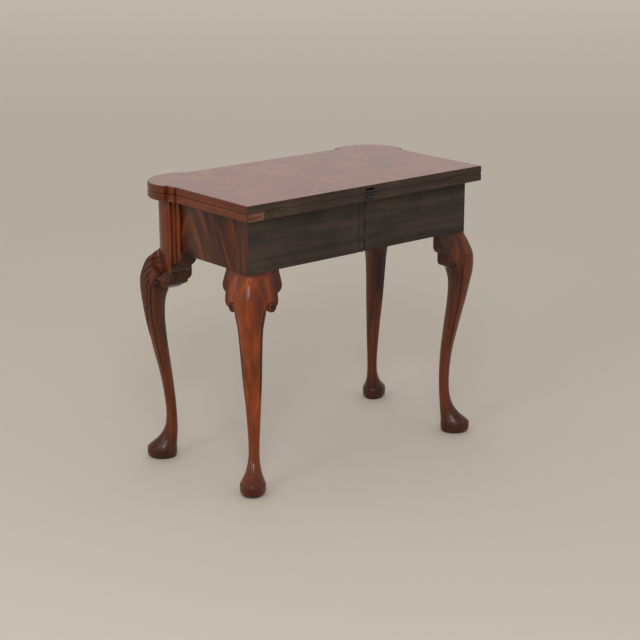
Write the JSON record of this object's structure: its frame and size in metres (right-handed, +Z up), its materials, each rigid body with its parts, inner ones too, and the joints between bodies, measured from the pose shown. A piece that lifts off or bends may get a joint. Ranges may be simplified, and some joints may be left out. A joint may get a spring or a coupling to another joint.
{
  "type": "games_table",
  "caption": "Fold-over games table with a turret-cornered double top hinged at the back, veneered frieze and cabriole legs, one of which swings out to carry the leaf",
  "frame": {"origin": "middle of the closed table's bounding box in plan, on the floor", "axes": "X along the table, right end seen from the front at +X; front at -Y and hinged back edge at +Y; Z up"},
  "size_m": [0.8012, 0.4481, 0.72],
  "materials": {
    "walnut": "old waxed polish",
    "figured_veneer": "old waxed polish",
    "dark_wood": "dark oxidised back surface",
    "bare_wood": "bare",
    "pine": "unpolished",
    "brass": "tarnished",
    "iron": "dull",
    "baize": "napped"
  },
  "bodies": {
    "root": {"lower_leaf": "walnut", "baize_lower": "baize", "register_tongue": "dark_wood", "edge_patch": "bare_wood", "hinge_lower_right": "brass", "hinge_lower_left": "brass", "hinge_pin_right": "brass", "hinge_pin_left": "brass", "hinge_screws_lower": "brass", "front_rail": "pine", "end_rail_right": "pine", "end_rail_left": "pine", "inner_back_rail": "pine", "fixed_fly_rail": "dark_wood", "knuckle_pin": "iron", "front_veneer": "figured_veneer", "end_veneer_right": "figured_veneer", "end_veneer_left": "figured_veneer", "turret_block_right": "walnut", "turret_block_left": "walnut", "strip_right_end": "walnut", "strip_right_front": "walnut", "strip_left_end": "walnut", "strip_left_front": "walnut", "front_leg_right": "walnut", "front_leg_left": "walnut", "back_leg_right": "walnut", "bracket_front_right_end": "walnut", "bracket_front_right_front": "walnut", "bracket_front_left_end": "walnut", "bracket_front_left_front": "walnut", "bracket_back_right_end": "walnut", "bracket_back_right_back": "walnut", "corner_blocks": "pine", "top_blocks": "pine", "top_screws": "iron", "fly_rail_screws": "iron"},
    "leaf": {"upper_leaf": "walnut", "top_veneer": "figured_veneer", "baize_upper": "baize", "hinge_upper_right": "brass", "hinge_upper_left": "brass", "hinge_screws_upper": "brass"},
    "gate": {"swing_fly_rail": "dark_wood", "swing_leg": "walnut", "bracket_swing_end": "walnut", "bracket_swing_back": "walnut"}
  },
  "joints": [
    {"name": "leaf_fold", "type": "hinge", "parent": "root", "child": "leaf", "pos_m": [0, 0.21625, 0.701], "axis": [-1, 0, 0], "range_deg": [0, 180]},
    {"name": "gate_swing", "type": "hinge", "parent": "root", "child": "gate", "pos_m": [0, 0.17275, 0.6], "axis": [0, 0, -1], "range_deg": [0, 90]}
  ]
}
